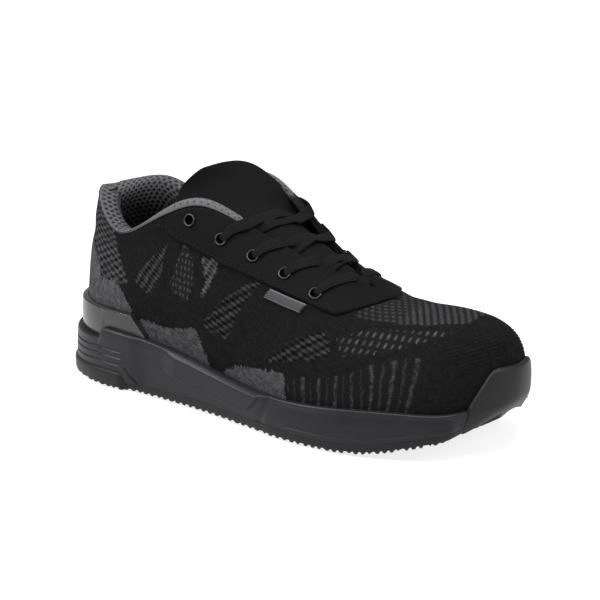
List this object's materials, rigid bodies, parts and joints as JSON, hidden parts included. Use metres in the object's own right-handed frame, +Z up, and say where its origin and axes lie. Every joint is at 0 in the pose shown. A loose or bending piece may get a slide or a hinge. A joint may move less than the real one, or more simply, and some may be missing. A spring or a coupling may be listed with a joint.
{
  "type": "safety shoe",
  "caption": "Low black knit safety trainer for the right foot, laced, with a grooved sole, a rubber toe bumper and a glossy heel clip.",
  "frame": {"origin": "middle of the shoe's box, on the floor under the sole", "axes": "+X to the toe, -Y to the outer (lateral) side, +Z up"},
  "size_m": [0.2991, 0.1106, 0.136],
  "materials": {
    "knit": "matt fine knit",
    "overlay": "matt smooth synthetic",
    "lining": "matt open mesh",
    "foam": "satin moulded",
    "tread": "satin moulded",
    "clip": "glossy moulded",
    "metal": "dark gunmetal",
    "cord": "matt flat woven",
    "woven": "matt woven tape"
  },
  "bodies": {
    "root": {"upper": "knit", "eyestay": "overlay", "midsole": "foam", "outsole": "tread", "insole": "lining", "tongue": "knit", "heel_clip": "clip", "collar_lining": "lining", "label_tab": "woven", "eyelet_lateral_1": "metal", "eyelet_lateral_2": "metal", "eyelet_lateral_3": "metal", "eyelet_lateral_4": "metal", "eyelet_lateral_5": "metal", "eyelet_medial_1": "metal", "eyelet_medial_2": "metal", "eyelet_medial_3": "metal", "eyelet_medial_4": "metal", "eyelet_medial_5": "metal", "lace_crossing_1": "cord", "lace_crossing_2": "cord", "lace_crossing_3": "cord", "lace_bar": "cord"}
  },
  "joints": []
}
